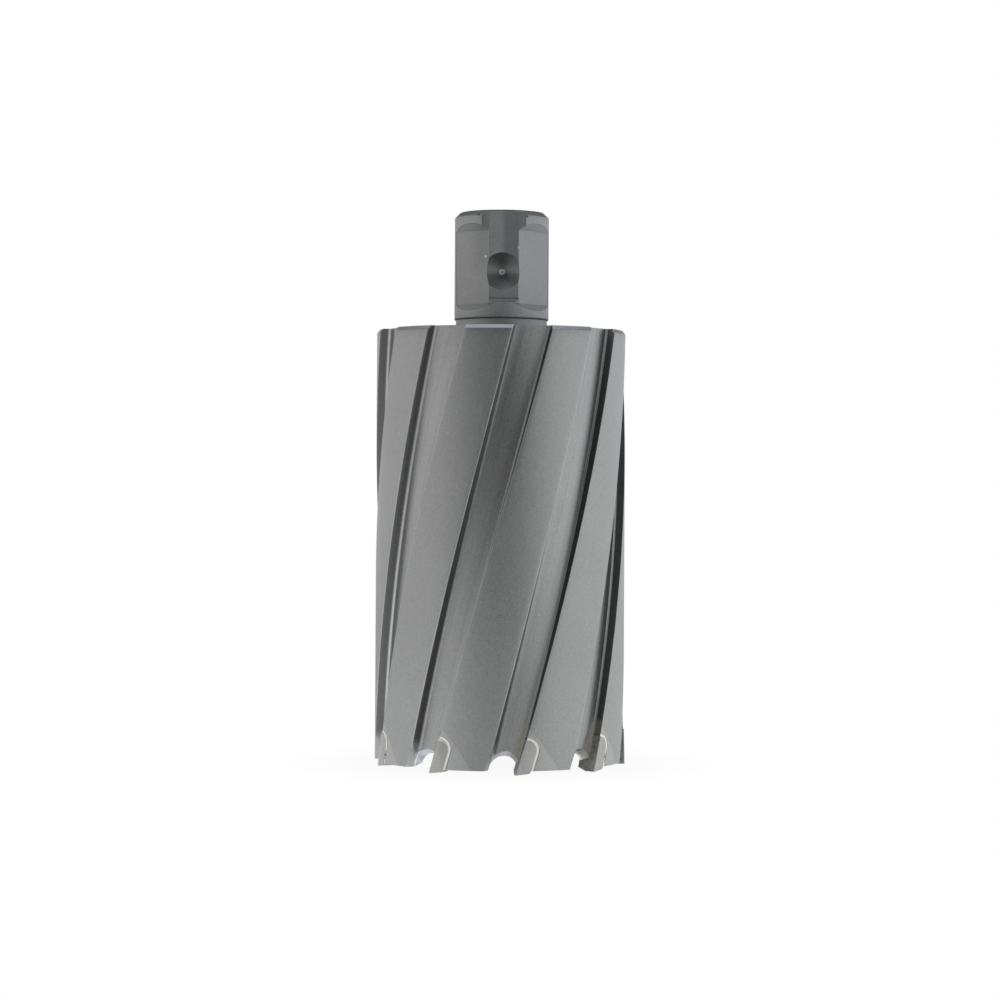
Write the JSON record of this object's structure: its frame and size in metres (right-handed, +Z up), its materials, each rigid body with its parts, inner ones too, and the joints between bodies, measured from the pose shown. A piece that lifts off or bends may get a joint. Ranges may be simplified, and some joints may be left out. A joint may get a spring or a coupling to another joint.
{
  "type": "annular cutter",
  "caption": "Core cutter with a thin fluted steel body, brazed carbide tips round its rim and a flatted shank with a through bore.",
  "frame": {"origin": "centre of the cutting end, on the plane through the lowest points of the tips", "axes": "+Z up the axis from the teeth to the shank's end, -Y through the front locating flat, +X to its right"},
  "size_m": [0.0504, 0.0504, 0.1112],
  "materials": {
    "steel_body": "fine blasted satin",
    "carbide": "ground matte",
    "braze": "bright as ground"
  },
  "bodies": {
    "root": {"cutter_body": "steel_body", "carbide_tip_1": "carbide", "carbide_tip_2": "carbide", "carbide_tip_3": "carbide", "carbide_tip_4": "carbide", "carbide_tip_5": "carbide", "carbide_tip_6": "carbide", "carbide_tip_7": "carbide", "carbide_tip_8": "carbide", "carbide_tip_9": "carbide", "braze_seam_1": "braze", "braze_seam_2": "braze", "braze_seam_3": "braze", "braze_seam_4": "braze", "braze_seam_5": "braze", "braze_seam_6": "braze", "braze_seam_7": "braze", "braze_seam_8": "braze", "braze_seam_9": "braze"}
  },
  "joints": []
}
